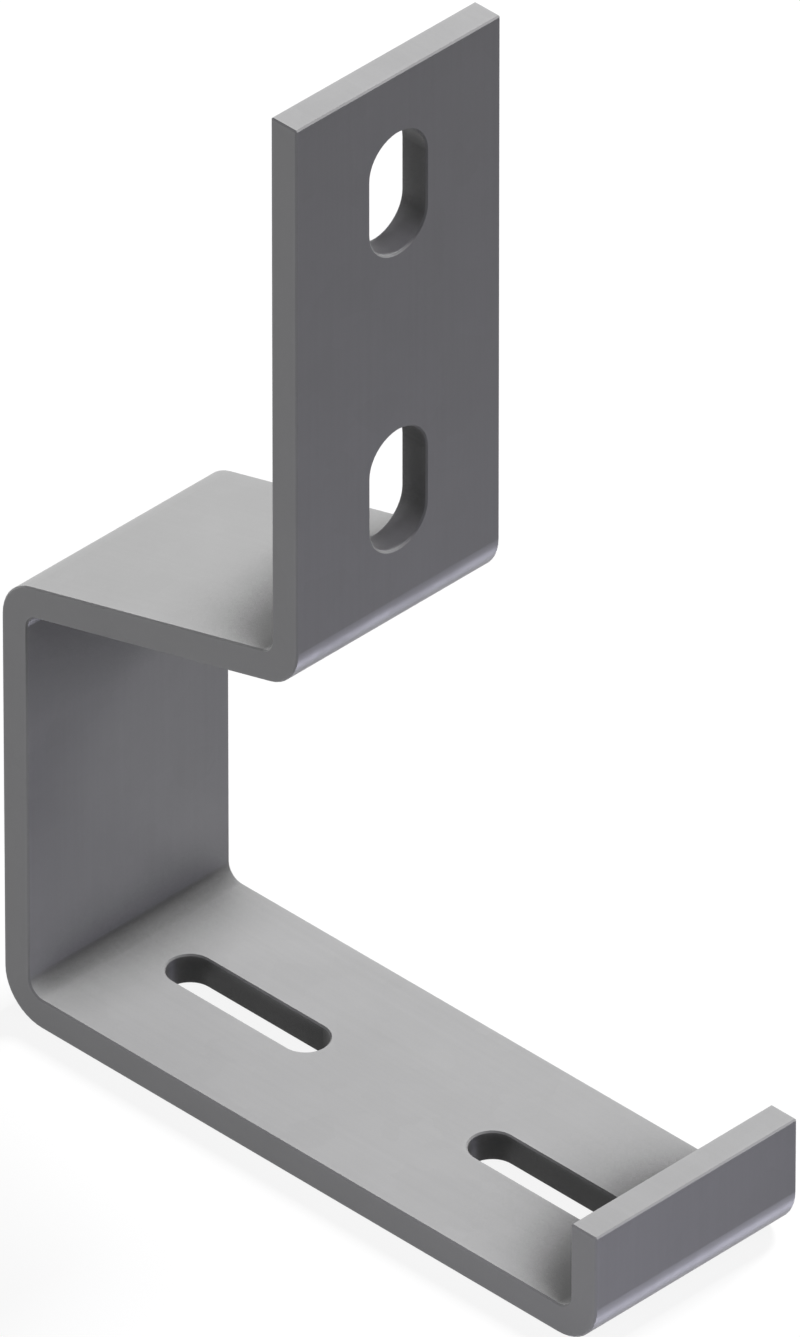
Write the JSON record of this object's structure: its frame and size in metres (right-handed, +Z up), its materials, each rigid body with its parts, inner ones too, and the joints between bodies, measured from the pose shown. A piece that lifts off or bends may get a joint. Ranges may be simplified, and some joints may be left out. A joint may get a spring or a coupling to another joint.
{
  "type": "cable ladder support bracket",
  "caption": "Bracket folded from flat steel bar: slotted base with an upturned lip, upright web, shelf sloping back over the base, and a slotted upright leg.",
  "frame": {"origin": "centre of the base's underside, which is the bottom centre of the whole part's box", "axes": "+X along the base from the web to the lip, +Y across the bar, +Z up the leg"},
  "size_m": [0.117, 0.04, 0.1783],
  "materials": {
    "steel": "plain satin grey steel, zinc coated, no paint"
  },
  "bodies": {
    "root": {"bracket": "steel"}
  },
  "joints": []
}
